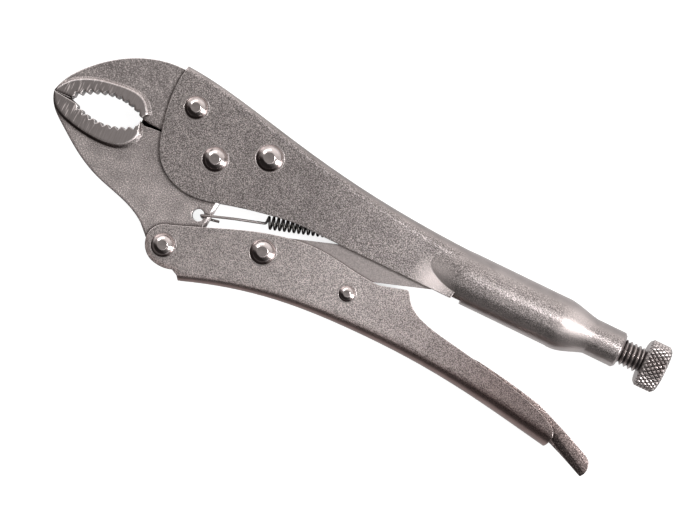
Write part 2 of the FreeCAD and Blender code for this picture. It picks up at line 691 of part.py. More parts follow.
def jaw_spring():
    """Tension spring from the moving jaw's tab up into the upper handle."""
    wire, coil = dim("wire_radius"), dim("coil_radius")
    start, end = point(*SPRING_START), point(*SPRING_END)
    along = (end - start).normalize()
    turns = Part.makeCylinder(coil, (end - start).Length, start, along)
    core = Part.makeCylinder(coil - 2 * wire, (end - start).Length, start, along)
    over = dim("moving_jaw_thick") / 2 + wire + 0.15
    rise = coil - 0.7 * wire
    front = bent_wire([FreeCAD.Vector(11.0, -20.1, -over), FreeCAD.Vector(4.3, -21.4, -over),
                       FreeCAD.Vector(4.3, -20.7, over), FreeCAD.Vector(21.0, -14.6, over),
                       start + FreeCAD.Vector(1.5, 0.5, rise)], wire)
    rear = bent_wire([end + FreeCAD.Vector(-1.5, -0.5, rise),
                      FreeCAD.Vector(*SPRING_HOOK, rise),
                      FreeCAD.Vector(*SPRING_HOOK, -rise)], wire)
    shape = turns.cut(core).fuse([front, rear])
    spring = doc.addObject("Part::Feature", "Spring")
    spring.Label = "jaw_spring"
    spring.Shape = shape
    spring.Placement = FreeCAD.Placement(FreeCAD.Vector(0, 0, dim("mid_height")),
                                         FreeCAD.Rotation())
    SUB_PARTS.append(spring)
    return spring


# ---------------------------------------------------------------- build and write

upper_handle()
fixed_jaw()
moving_jaw()
lever()
toggle_link()
release_lever()
rivet("front_jaw_rivet", "front_rivet_x", "front_rivet_y", 4.25)
rivet("rear_jaw_rivet", "rear_rivet_x", "rear_rivet_y", 4.95)
rivet("jaw_pivot_rivet", None, None, 4.6)
rivet("lever_pivot_rivet", "lever_pivot_x", "lever_pivot_y", 4.4)
rivet("link_rivet", "link_pivot_x", "link_pivot_y", 4.7)
rivet("release_rivet", "release_pivot_x", "release_pivot_y", 2.95,
      "small", "small_shank_radius")
adjusting_screw()
adjusting_knob()
jaw_spring()

doc.recompute()
for item in doc.Objects:
    if "Invalid" in item.State or "Error" in item.State:
        raise RuntimeError("%s failed: %s" % (item.Label, item.State))
os.makedirs("parts", exist_ok=True)
for part in SUB_PARTS:
    shape = part.Shape
    if shape.isNull() or not shape.isValid() or len(shape.Solids) != 1:
        raise RuntimeError("%s is not one valid solid" % part.Label)
for part in SUB_PARTS:
    part.Shape.exportStep("parts/%s.step" % part.Label)
    print("%-20s %9.1f mm3" % (part.Label, part.Shape.Volume))
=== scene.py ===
import json
import math

import bmesh
import bpy
import numpy as np
from mathutils import Matrix, Vector

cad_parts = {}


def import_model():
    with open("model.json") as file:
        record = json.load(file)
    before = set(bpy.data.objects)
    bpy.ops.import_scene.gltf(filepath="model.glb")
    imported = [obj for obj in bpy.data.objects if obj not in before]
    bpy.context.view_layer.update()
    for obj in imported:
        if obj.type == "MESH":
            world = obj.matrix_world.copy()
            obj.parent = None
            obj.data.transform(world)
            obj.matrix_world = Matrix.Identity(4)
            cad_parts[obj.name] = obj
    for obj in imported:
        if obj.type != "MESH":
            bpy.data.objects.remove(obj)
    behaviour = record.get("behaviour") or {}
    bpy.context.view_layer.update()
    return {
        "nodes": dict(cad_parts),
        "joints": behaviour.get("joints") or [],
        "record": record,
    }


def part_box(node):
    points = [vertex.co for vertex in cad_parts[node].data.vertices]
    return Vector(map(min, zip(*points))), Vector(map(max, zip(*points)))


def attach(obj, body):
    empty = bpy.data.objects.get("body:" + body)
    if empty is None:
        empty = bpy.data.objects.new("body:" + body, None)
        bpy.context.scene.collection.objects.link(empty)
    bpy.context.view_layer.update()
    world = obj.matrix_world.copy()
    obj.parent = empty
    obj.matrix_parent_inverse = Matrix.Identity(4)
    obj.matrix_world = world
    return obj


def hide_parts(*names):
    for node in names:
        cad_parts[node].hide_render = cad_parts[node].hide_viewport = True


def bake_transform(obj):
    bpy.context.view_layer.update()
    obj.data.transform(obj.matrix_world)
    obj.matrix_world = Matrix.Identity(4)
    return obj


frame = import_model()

MM = 0.001
TAU = 2 * math.pi


def node_box(name):
    """Lowest and highest corner of a CAD node, in millimetres."""
    low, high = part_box(name)
    return np.array(low) / MM, np.array(high) / MM


def half_thickness(name):
    """Half of a CAD node's thickness, measured along Z, in millimetres."""
    low, high = node_box(name)
    return (high[2] - low[2]) / 2


def joint_place(name):
    """Where a joint's axis passes, in millimetres."""
    joint = next(j for j in frame["joints"] if j["name"] == name)
    return np.array(joint["pos_m"]) / MM


# The screw's Y and the Z of the middle of the tool, then levels counted from that middle, all
# in millimetres.
_, SCREW_AXIS, MIDDLE = joint_place("knob_turn")
PLATE_LEVEL = half_thickness("lever")
RING_LEVEL = half_thickness("fixed_jaw") - 0.06   # a hair under the ring's ground face
TAB_LEVEL = 7.9 / 2                               # faces of the tab that the spring hooks on
SPIGOT_LENGTH = 6.0                               # the end of the screw that the knob covers


# ------------------------------------------------------------------ networks of nodes

class Network:
    """A node tree, with short ways to add the nodes that this scene is made of."""

    def __init__(self, tree):
        self.nodes, self.links = tree.nodes, tree.links

    def feed(self, slot, value):
        """Puts a number, a vector or another node's output into a node's input."""
        if isinstance(value, bpy.types.NodeSocket):
            self.links.new(value, slot)
        else:
            slot.default_value = value

    def maths(self, kind, a, b=0.0):
        """A sum, a product or another operation on two numbers or outputs."""
        node = self.nodes.new("ShaderNodeMath")
        node.operation = kind
        self.feed(node.inputs[0], a)
        self.feed(node.inputs[1], b)
        return node.outputs[0]

    def vectors(self, kind, a, b=(0.0, 0.0, 0.0)):
        """An operation on two vectors or outputs; a length and a dot product are numbers."""
        node = self.nodes.new("ShaderNodeVectorMath")
        node.operation = kind
        self.feed(node.inputs[0], a)
        self.feed(node.inputs[1], b)
        return node.outputs["Value" if kind in ("DOT_PRODUCT", "LENGTH") else "Vector"]

    def spread(self, value, low, high, start=0.0, end=1.0):
        """Runs from low to high, and no further, while a value runs from start to end."""
        node = self.nodes.new("ShaderNodeMapRange")
        self.feed(node.inputs["Value"], value)
        self.feed(node.inputs["From Min"], start)
        self.feed(node.inputs["From Max"], end)
        self.feed(node.inputs["To Min"], low)
        self.feed(node.inputs["To Max"], high)
        return node.outputs["Result"]

    def ramp(self, value, *stops):
        """Maps a value to colours, or to greys, at the given positions."""
        node = self.nodes.new("ShaderNodeValToRGB")
        elements = node.color_ramp.elements
        while len(elements) < len(stops):
            elements.new(0.5)
        for element, (position, shade) in zip(elements, stops):
            element.position = position
            element.color = (*shade, 1) if isinstance(shade, tuple) else (shade,) * 3 + (1,)
        self.links.new(value, node.inputs["Fac"])
        return node.outputs["Color"]

    def openness(self, reach, samples=16):
        """1 on an open surface, less where anything crowds it within reach millimetres."""
        node = self.nodes.new("ShaderNodeAmbientOcclusion")
        node.samples = samples
        node.inputs["Distance"].default_value = reach * MM
        return node.outputs["AO"]


# ------------------------------------------------------------------ stage and camera

# Across, up and above as the camera sees them, and the middle of its view, in metres.
TURN = math.radians(25.8)
ACROSS = Vector((math.cos(TURN), math.sin(TURN), 0.0))
UP = Vector((-math.sin(TURN), math.cos(TURN), 0.0))
ABOVE = Vector((0.0, 0.0, 1.0))
CENTRE = Vector((61.1 * MM, -12.4 * MM, 9.25 * MM))
CAMERA_HEIGHT = 0.955   # metres over the middle of the view
LENS = 132.7            # millimetres, as is the next
SENSOR_WIDTH = 36.0


def camera():
    """Straight above the tool, turned so that the handles run down to the right."""
    data = bpy.data.cameras.new("Camera")
    data.sensor_width = SENSOR_WIDTH
    data.lens = LENS
    obj = bpy.data.objects.new("Camera", data)
    bpy.context.scene.collection.objects.link(obj)
    obj.matrix_world = (Matrix.Translation(CENTRE + CAMERA_HEIGHT * ABOVE)
                        @ Matrix.Rotation(TURN, 4, "Z"))
    bpy.context.scene.camera = obj


# Each lamp's place across, up and above the middle of the tool and its width and depth, all
# in metres, and its power in watts.
LAMPS = (("far_box", -0.35, 1.1, 0.45, 1.3, 0.5, 2.6),
         ("left_box", -0.6, 0.75, 0.6, 0.4, 0.4, 1.8),
         ("rear_box", 0.85, -0.40, 0.35, 0.4, 0.4, 6.0),
         ("near_strip", 0.1, -0.5, 1.1, 0.9, 0.15, 0.7),
         ("top_box", 0.45, 0.05, 0.95, 0.16, 0.16, 2.7))


def softbox(name, across, up, above, width, depth, power):
    """A soft rectangular lamp that faces the middle of the tool."""
    data = bpy.data.lights.new(name, "AREA")
    data.shape = "RECTANGLE"
    data.size, data.size_y, data.energy = width, depth, power
    obj = bpy.data.objects.new(name, data)
    bpy.context.scene.collection.objects.link(obj)
    place = CENTRE + across * ACROSS + up * UP + above * ABOVE
    obj.matrix_world = (Matrix.Translation(place)
                        @ (CENTRE - place).to_track_quat("-Z", "Y").to_matrix().to_4x4())


# How light the surroundings are: from the near side (0) over the top (0.5) to the far (1).
SKY = ((0.0, 0.18), (0.25, 0.14), (0.42, 0.52), (0.56, 0.34), (0.75, 0.64), (1.0, 1.2))
SKY_TINT = (1.0, 0.975, 0.955)
FAR_SIDE = (0.0, 1.0, 0.0)


def world():
    """Soft surroundings: a broad light sky on the far side of the tool, dusk on the near one."""
    shell = bpy.data.worlds.new("Studio")
    shell.use_nodes = True
    bpy.context.scene.world = shell
    net = Network(shell.node_tree)
    direction = net.nodes.new("ShaderNodeTexCoord").outputs["Generated"]
    away = net.spread(net.vectors("DOT_PRODUCT", direction, FAR_SIDE), 0.0, 1.0, start=-1.0)
    stops = [(place, tuple(level * tint for tint in SKY_TINT)) for place, level in SKY]
    net.links.new(net.ramp(away, *stops), net.nodes["Background"].inputs["Color"])


FLOOR_HALF = 3.0        # metres from the middle to a side
FLOOR_COLOUR = 0.36     # what it scatters of the light that falls on it
FLOOR_GLOW = 0.93       # what it gives out by itself
FLOOR_MIRRORED = 0.5    # the share of the glow that polished metal sees
SHADOW_REACH = 10.0     # millimetres


def floor():
    """A plain white floor: its own light keeps it white, and it dims only under the tool.

    The glow is there for the camera, for metal and for glass, and does not light the tool.
    It fades out where the floor is almost closed in, within the shadow's reach.
    """
    half = FLOOR_HALF
    mesh = bpy.data.meshes.new("Floor")
    mesh.from_pydata([(-half, -half, 0), (half, -half, 0), (half, half, 0), (-half, half, 0)],
                     [], [(0, 1, 2, 3)])
    obj = bpy.data.objects.new("Floor", mesh)
    bpy.context.scene.collection.objects.link(obj)
    paper = bpy.data.materials.new("white_paper")
    paper.use_nodes = True
    net = Network(paper.node_tree)
    shader = net.nodes["Principled BSDF"]
    shader.inputs["Base Color"].default_value = (FLOOR_COLOUR,) * 3 + (1,)
    shader.inputs["Roughness"].default_value = 1.0
    shader.inputs["Specular IOR Level"].default_value = 0.0
    seen = net.nodes.new("ShaderNodeLightPath").outputs
    mirrored = net.maths("MULTIPLY", seen["Is Glossy Ray"], FLOOR_MIRRORED)
    looked_at = net.maths("MAXIMUM", seen["Is Camera Ray"], mirrored)
    looked_at = net.maths("MAXIMUM", looked_at, seen["Is Transmission Ray"])
    glow = net.spread(net.openness(SHADOW_REACH), 0.0, FLOOR_GLOW, start=0.02, end=0.2)
    shader.inputs["Emission Color"].default_value = (1, 1, 1, 1)
    net.links.new(net.maths("MULTIPLY", looked_at, glow), shader.inputs["Emission Strength"])
    mesh.materials.append(paper)


# ------------------------------------------------------------------ materials

def grey(level):
    """The warm grey of nickel plate at a given level."""
    return level, 0.897 * level, 0.88 * level


def shade_brown(level):
    """A browner grey, for the shade painted into corners."""
    return level, 0.92 * level, 0.88 * level


class Finish(Network):
    """A metal finish put together from a few nodes on the piece's own coordinates.

    With an edge, the corners are rounded by that many millimetres in the shading, and
    edge_lean tells how far the rounded normal leaves the face's own: 0 on a face, up to
    about 0.3 on a square corner.
    """

    def __init__(self, name, colour, roughness, edge=None):
        self.material = bpy.data.materials.new(name)
        self.material.use_nodes = True
        super().__init__(self.material.node_tree)
        self.shader = self.nodes["Principled BSDF"]
        self.shader.inputs["Metallic"].default_value = 1.0
        self.shader.inputs["Base Color"].default_value = (*colour, 1)
        self.shader.inputs["Roughness"].default_value = roughness
        coordinates = self.nodes.new("ShaderNodeTexCoord")
        self.place = coordinates.outputs["Object"]
        self.facing = coordinates.outputs["Normal"]
        self.normal = None
        if edge:
            self.normal = self.rounded(edge)
            self.links.new(self.normal, self.shader.inputs["Normal"])
            face = self.nodes.new("ShaderNodeNewGeometry").outputs["True Normal"]
            self.edge_lean = self.maths("SUBTRACT", 1.0,
                                     self.vectors("DOT_PRODUCT", self.normal, face))

    def rounded(self, radius):
        """The normal of the piece with its corners rounded by a radius in millimetres."""
        bevel = self.nodes.new("ShaderNodeBevel")
        bevel.samples = 6
        bevel.inputs["Radius"].default_value = radius * MM
        return bevel.outputs["Normal"]

    def paint(self, colour):
        """A plain colour, to be mixed into others."""
        node = self.nodes.new("ShaderNodeRGB")
        node.outputs[0].default_value = (*colour, 1)
        return node.outputs[0]

    def mix(self, kind, amount, a, b):
        """Two colours mixed in one of the ways that blend and shade name."""
        node = self.nodes.new("ShaderNodeMix")
        node.data_type = "RGBA"
        node.blend_type = kind
        node.clamp_result = True
        self.feed(node.inputs["Factor"], amount)
        self.links.new(a, node.inputs["A"])
        self.links.new(b, node.inputs["B"])
        return node.outputs["Result"]

    def blend(self, amount, a, b):
        """From one colour to another; amount is an output, 0 for the first."""
        return self.mix("MIX", amount, a, b)

    def shade(self, colour, tone, amount=1.0):
        """Multiplies a colour by a tone, where amount is 1."""
        return self.mix("MULTIPLY", amount, colour, tone)

    def noise(self, size, detail=2.0, where=None):
        """Cloudy noise whose lumps are about size millimetres across."""
        node = self.nodes.new("ShaderNodeTexNoise")
        node.inputs["Scale"].default_value = 1.0 / (size * MM)
        node.inputs["Detail"].default_value = detail
        self.links.new(where or self.place, node.inputs["Vector"])
        return node.outputs["Fac"]

    def stretched(self, turn, scale):
        """The coordinates turned about Z and scaled, for a pattern with a direction."""
        node = self.nodes.new("ShaderNodeMapping")
        node.inputs["Rotation"].default_value = (0, 0, math.radians(turn))
        node.inputs["Scale"].default_value = scale
        self.links.new(self.place, node.inputs["Vector"])
        return node.outputs["Vector"]

    def part(self, axis):
        """One of the piece's own coordinates, in metres."""
        split = self.nodes.new("ShaderNodeSeparateXYZ")
        self.links.new(self.place, split.inputs[0])
        return split.outputs[axis]

    def along(self, axis, length):
        """One of the piece's own coordinates, counted in lengths given in millimetres."""
        return self.maths("MULTIPLY", self.part(axis), 1 / (length * MM))

    def between(self, axis, start, end):
        """0 before one place on an axis and 1 past another, both given in millimetres."""
        return self.spread(self.part(axis), 0.0, 1.0, start * MM, end * MM)

    def off_middle(self):
        """How far a point lies above or below the middle of the tool, in metres."""
        return self.maths("ABSOLUTE", self.maths("SUBTRACT", self.part("Z"), MIDDLE * MM))

    def turned_to(self, direction):
        """How far the surface turns towards a direction in the piece's own coordinates."""
        return self.vectors("DOT_PRODUCT", self.facing, Vector(direction).normalized())

    def level_face(self):
        """1 on faces that lie level, less the steeper they stand, 0 upright."""
        return self.maths("ABSOLUTE", self.turned_to(ABOVE))

    def flatness(self):
        """1 on faces that lie flat, 0 where the sheet has turned by half a right angle."""
        return self.ramp(self.level_face(), (0.72, 0.0), (0.93, 1.0))

    def edge_wear_and_highlight(self, colour, bright, amount):
        """Lightens a colour along the edges, where the rounded normal leaves the face's: wear,
        and in part a painted highlight.
        """
        worn = self.ramp(self.edge_lean, (0.03, 0.0), (0.2, amount))
        return self.blend(worn, colour, self.paint(bright))

    def crease_shade(self, colour, reach=1.3, dark=0.3):
        """Paints shade into a colour where the surface is crowded by its neighbours, as in
        creases and between parts.
        """
        return self.shade(colour, self.ramp(self.openness(reach, 8),
                                            (0.5, shade_brown(dark)), (0.9, 1.0)))

    def shaded_flank(self, colour, direction, dark, start=0.3, full=0.75):
        """Paints shade on the flanks that turn towards a direction, darkening their colour."""
        return self.shade(colour, self.ramp(self.turned_to(direction),
                                            (start, 1.0), (full, grey(dark))))

    def shaded_edge_band(self, colour, direction, width, dark):
        """Paints a band of shade along the edges that look towards a direction."""
        own = self.nodes.new("ShaderNodeVectorTransform")
        own.vector_type, own.convert_from, own.convert_to = "NORMAL", "WORLD", "OBJECT"
        self.links.new(self.rounded(width), own.inputs[0])
        lean = self.vectors("DOT_PRODUCT", own.outputs[0], Vector(direction).normalized())
        return self.shade(colour, self.ramp(lean, (0.08, 1.0), (0.4, grey(dark))))

    def painted_highlight(self, colour, centre, radius, bright):
        """Paints a highlight, lightening a colour round a place given in millimetres, right
        through the piece.
        """
        x, y = centre
        away = self.vectors("SUBTRACT", self.place, (x * MM, y * MM, 0.0))
        level = self.vectors("MULTIPLY", away, (1.0, 1.0, 0.0))
        distance = self.maths("MULTIPLY", self.vectors("LENGTH", level), 1 / (radius * MM))
        near = self.ramp(distance, (0.2, bright), (1.0, 0.0))
        return self.blend(near, colour, self.paint(grey(0.98)))

    def colour(self, output):
        """Gives the metal its colour."""
        self.links.new(output, self.shader.inputs["Base Color"])

    def rough(self, value, low, high):
        """Roughness that runs from low to high with a value."""
        self.links.new(self.spread(value, low, high), self.shader.inputs["Roughness"])

    def bump(self, height, depth):
        """Raises the surface by a height of depth millimetres."""
        node = self.nodes.new("ShaderNodeBump")
        node.inputs["Distance"].default_value = depth * MM
        node.inputs["Strength"].default_value = 1.0
        self.links.new(height, node.inputs["Height"])
        if self.normal:
            self.links.new(self.normal, node.inputs["Normal"])
        self.normal = node.outputs["Normal"]
        self.links.new(self.normal, self.shader.inputs["Normal"])


# Towards the near side of the tool, as the flanks of each group of pieces face it (shade is
# painted on those flanks), and towards the ends of the handles.
NEAR_LEVER = (-0.35, -0.95, 0.0)
NEAR_JAWS = (-0.54, -0.84, 0.0)
NEAR_RIVETS = (-0.33, -0.945, 0.0)
TAIL_END = (1.0, 0.0, 0.0)

GRAIN = 0.35            # size of the blasted grain, in millimetres
HANDLE_REACH = 150.0    # from the jaw pivot to the end of the grip, in millimetres


def sheet_skin(finish, level=1.0):
    """Nickel over blasted sheet: fine sparkling grain on the flats, smoother on the bends."""
    grain = finish.noise(GRAIN, 1.0)
    mottle = finish.noise(7.0, 3.0)
    speckle = finish.ramp(grain, (0.36, grey(0.17 * level)), (0.54, grey(0.42 * level)),
                          (0.7, grey(min(0.95 * level, 1.0))))
    smooth = finish.ramp(mottle, (0.3, grey(0.38 * level)), (0.7, grey(0.42 * level)))
    cloud = finish.ramp(mottle, (0.3, 0.86), (0.7, 1.04))
    flat = finish.flatness()
    finish.rough(grain, 0.28, 0.38)
    finish.bump(finish.maths("MULTIPLY", grain, flat), 0.05)
    return finish.shade(finish.blend(flat, smooth, speckle), cloud)


# Where the grip swells out of the handle's plates, and where it narrows to the neck: the middles
# of the painted highlights there, and their reach.
SWELL_START = (91.5, -4.8)
SWELL_END = (146.0, 1.5)
SWELL_HIGHLIGHT = 9.0


def blasted_nickel():
    """The handle's sheet, with painted highlights where the grip swells out of it and narrows
    again.
    """
    finish = Finish("blasted_nickel", grey(0.4), 0.36, edge=0.5)
    tone = finish.ramp(finish.along("X", HANDLE_REACH), (0.0, 0.86), (0.24, 0.7), (0.46, 0.86),
                       (0.66, 0.84), (0.8, 0.96), (1.0, 0.86))
    skin = finish.shade(sheet_skin(finish, 1.2), tone)
    # edges lightened: wear, and in part a painted highlight
    skin = finish.edge_wear_and_highlight(skin, grey(0.85), 0.7)
    # painted highlights where the grip swells and narrows
    skin = finish.painted_highlight(skin, SWELL_START, SWELL_HIGHLIGHT, 0.9)
    skin = finish.painted_highlight(skin, SWELL_END, SWELL_HIGHLIGHT, 0.8)
    # painted shade where neighbouring pieces crowd the sheet
    finish.colour(finish.crease_shade(skin))
    return finish.material


def shaded_lever_nickel():
    """The lever's sheet, with painted shade: light by the pivots, dark towards its tail and down
    its near side.
    """
    finish = Finish("shaded_lever_nickel", grey(0.4), 0.36, edge=0.5)
    # painted shade on the flats: light by the pivots, dark towards the lever's tail
    tone = finish.ramp(finish.along("X", HANDLE_REACH), (0.0, 0.86), (0.15, 0.88), (0.44, 1.0),
                       (0.85, grey(0.39)), (1.0, grey(0.34)))
    skin = finish.shade(sheet_skin(finish, 1.62), tone, finish.flatness())
    # edges lightened: wear, and in part a painted highlight
    skin = finish.edge_wear_and_highlight(skin, grey(0.9), 0.8)
    # painted shade down the lever's near side
    skin = finish.shaded_flank(skin, NEAR_LEVER, 0.52, 0.1, 0.6)
    # painted shade along the lever's near edge
    skin = finish.shaded_edge_band(skin, NEAR_LEVER, 4.0, 0.75)
    # painted shade where neighbouring pieces crowd the sheet
    finish.colour(finish.crease_shade(skin))
    return finish.material


BLADE_ACROSS = (-0.468, -0.884, 0.0)    # straight across the release lever's blade
BLADE_EDGE = -44.7                      # where its upper edge lies in that direction
BLADE_WIDTH = 6.0                       # how wide its falling flank is
BLADE_SHOWS = (148.0, 153.0)            # X over which it comes out past the lever's tail


def pressed_blade():
    """The release lever's blade, pressed so that it falls away along its lower flank.

    The fall is the distance across the blade from its upper edge, over the flank's width,
    and is nothing where the blade lies inside the lever.  The fall darkens the flank as
    painted shade, and tilts it through the bump.
    """
    finish = Finish("pressed_blade", grey(0.4), 0.36, edge=0.5)
    across = finish.vectors("DOT_PRODUCT", finish.place, BLADE_ACROSS)
    across = finish.maths("MULTIPLY", across, 1 / (BLADE_WIDTH * MM))
    across = finish.maths("SUBTRACT", across, BLADE_EDGE / BLADE_WIDTH)
    fall = finish.maths("MULTIPLY", across, finish.between("X", *BLADE_SHOWS))
    # painted shade down the falling flank
    tone = finish.ramp(fall, (0.25, grey(0.95)), (0.6, grey(0.42)), (1.0, grey(0.24)))
    skin = finish.shade(sheet_skin(finish), tone)
    # edges lightened: wear, and in part a painted highlight
    skin = finish.edge_wear_and_highlight(skin, grey(0.85), 0.7)
    finish.bump(finish.ramp(fall, (0.15, 1.0), (0.6, 0.78), (1.0, 0.2)), 1.6)
    # painted shade where neighbouring pieces crowd the sheet
    finish.colour(finish.crease_shade(skin))
    return finish.material


MARKS_TURN = 6.0            # the wheel marks' lean from Y, in degrees
MARKS_SCALE = (1.0, 0.1, 0.3)   # which draws them out along Y
BELLY = (-9.0, -18.0)       # Y over which the moving jaw's skin grows lighter
TIP_MARKS = (-40.0, -56.0)  # X over which the wheel marks grow strong
TAB_START = 4.0             # X beyond which the moving jaw's tab lies
CHAMFER_TURN = 0.4          # how far its chamfer turns to the tail end, at least
RING_BORDER = 0.32          # width of the band just below the ring's ground face, lit by a painted highlight


def forged_skin(finish, grain, mottle):
    """Blasted forging, with a coarser and lighter sparkle low down on the moving jaw."""
    cloud = finish.ramp(mottle, (0.35, 0.8), (0.65, 1.06))
    speckle = finish.ramp(grain, (0.36, grey(0.26)), (0.56, grey(0.44)), (0.74, grey(0.88)))
    light = finish.ramp(grain, (0.34, grey(0.3)), (0.55, grey(0.58)), (0.72, grey(1.0)))
    return finish.blend(finish.between("Y", *BELLY), finish.shade(speckle, cloud),
                        finish.shade(light, cloud))


def ground_face(finish, marks):
    """The ring's ground face: wheel marks that show most by the tip, with a painted highlight
    round its edge.
    """
    streaks = finish.ramp(marks, (0.42, grey(0.26)), (0.58, grey(0.31)), (0.66, grey(0.8)))
    plain = finish.ramp(marks, (0.4, grey(0.30)), (0.6, grey(0.335)))
    face = finish.blend(finish.between("X", *TIP_MARKS), plain, streaks)
    # painted highlight along the ring face's edge
    edge_highlight = finish.ramp(finish.edge_lean, (0.008, 0.0), (0.04, 0.6))
    return finish.blend(edge_highlight, face, finish.ramp(marks, (0.3, grey(0.75)), (0.7, 1.0)))


def forged_steel():
    """Nickel over the forged jaws, with the ring's rim ground flat across the tool.

    The ground face is where the height above the middle of the tool is the ring's own,
    and the marks of the wheel are noise drawn out along Y.  The chamfer on the end of the
    moving jaw's tab is bare.
    """
    finish = Finish("forged_steel", grey(0.38), 0.38, edge=0.6)
    grain = finish.noise(0.4, 1.0)
    mottle = finish.noise(6.0, 3.0)
    marks = finish.noise(0.5, 2.0, finish.stretched(MARKS_TURN, MARKS_SCALE))
    height = finish.off_middle()
    rim = finish.maths("GREATER_THAN", height, RING_LEVEL * MM)
    skin = finish.blend(rim, forged_skin(finish, grain, mottle), ground_face(finish, marks))
    # edges lightened: wear, and in part a painted highlight
    skin = finish.edge_wear_and_highlight(skin, grey(0.9), 0.6)
    # painted highlight on the band just below the ring's ground face
    shoulder = finish.maths("GREATER_THAN", height, (RING_LEVEL - RING_BORDER) * MM)
    border = finish.maths("SUBTRACT", shoulder, rim)
    skin = finish.blend(border, skin, finish.ramp(marks, (0.3, grey(0.5)), (0.6, grey(0.85))))
    # painted shade on the jaws' flanks that face the near side
    skin = finish.shaded_flank(skin, NEAR_JAWS, 0.25)
    # painted shade along the jaws' near edges
    skin = finish.shaded_edge_band(skin, NEAR_JAWS, 1.6, 0.3)
    # painted shade in the creases, deep and dark on the forging
    skin = finish.crease_shade(skin, 2.0, 0.14)
    end_face = finish.maths("GREATER_THAN", finish.turned_to(TAIL_END), CHAMFER_TURN)
    on_tab = finish.maths("GREATER_THAN", finish.part("X"), TAB_START * MM)
    chamfer = finish.maths("MULTIPLY", end_face, on_tab)
    bare = finish.ramp(mottle, (0.0, grey(1.0)), (1.0, 1.0))
    finish.colour(finish.blend(chamfer, skin, bare))
    finish.rough(grain, 0.32, 0.46)
    finish.bump(finish.maths("MULTIPLY", grain, finish.maths("SUBTRACT", 1.0, rim)), 0.05)
    return finish.material


def link_steel():
    """Plain nickel on the link's smooth flat bar."""
    finish = Finish("link_steel", grey(0.46), 0.34, edge=0.3)
    grain = finish.noise(0.5, 2.0)
    face = finish.ramp(grain, (0.3, grey(0.38)), (0.7, grey(0.56)))
    # painted shade where the link meets its neighbours
    finish.colour(finish.crease_shade(face))
    finish.rough(grain, 0.28, 0.4)
    finish.bump(grain, 0.03)
    return finish.material


LIP_END = 0.085         # over the plate, between a lip's top and the head's foot
LEVEL_ENOUGH = 0.985    # how level the facet on a dome is


def polished_rivet():
    """Bright domes with painted shade on their near side, darker on their facets, in blasted
    lips.
    """
    finish = Finish("polished_rivet", grey(0.6), 0.16)
    marks = finish.noise(1.4, 3.0)
    dome = finish.ramp(marks, (0.3, grey(0.62)), (0.7, grey(0.74)))
    # painted shade on the near side of each dome
    dome = finish.shaded_flank(dome, NEAR_RIVETS, 0.13, 0.02, 0.4)
    facet = finish.maths("GREATER_THAN", finish.level_face(), LEVEL_ENOUGH)
    dome = finish.blend(facet, dome, finish.ramp(marks, (0.3, grey(0.4)), (0.7, grey(0.5))))
    grain = finish.noise(GRAIN, 1.0)
    plate = finish.ramp(grain, (0.36, grey(0.3)), (0.56, grey(0.44)), (0.74, grey(0.8)))
    lip = finish.maths("LESS_THAN", finish.off_middle(), (PLATE_LEVEL + LIP_END) * MM)
    # painted shade round the foot of each head
    finish.colour(finish.crease_shade(finish.blend(lip, dome, plate), 0.9))
    finish.rough(lip, 0.17, 0.36)
    return finish.material


def cut_steel(name, root, crest, low, high):
    """Steel cut into ridges: painted shade in the roots, and the crests bright and smooth.

    It reads the piece's own attribute called ridge, 0 in a root and 1 on a crest.  Root
    and crest are grey levels; low and high are the roughness of a crest and of a root.
    """
    finish = Finish(name, grey(crest), 0.28)
    ridge = finish.nodes.new("ShaderNodeAttribute")
    ridge.attribute_name = "ridge"
    worn = finish.ramp(finish.noise(0.9, 2.0), (0.3, 0.86), (0.7, 1.0))
    # painted shade in the roots, the crests at their own grey
    tone = finish.ramp(ridge.outputs["Fac"], (0.1, grey(root)), (0.55, grey(crest)))
    finish.colour(finish.shade(tone, worn))
    finish.rough(ridge.outputs["Fac"], high, low)
    return finish.material


HOOK_TO_COIL = (25.2, 27.0)     # X over which the light wire gives way to the dark


def spring_wire():
    """Drawn wire with a dull shine: lighter on the front hook and dark on the coil."""
    finish = Finish("spring_wire", (0.12, 0.115, 0.11), 0.34)
    marks = finish.noise(0.7, 2.0)
    plain = finish.ramp(marks, (0.3, grey(0.34)), (0.7, grey(0.46)))
    drawn = finish.ramp(marks, (0.3, (0.09, 0.085, 0.08)), (0.7, (0.17, 0.165, 0.16)))
    finish.colour(finish.blend(finish.between("X", *HOOK_TO_COIL), plain, drawn))
    finish.rough(marks, 0.28, 0.42)
    return finish.material


# ------------------------------------------------------------------ surfaces

MERGE = 1e-7            # metres within which the points of a pole are one
ALONG_X = (1, 0, 0)
ALONG_Z = (0, 0, 1)


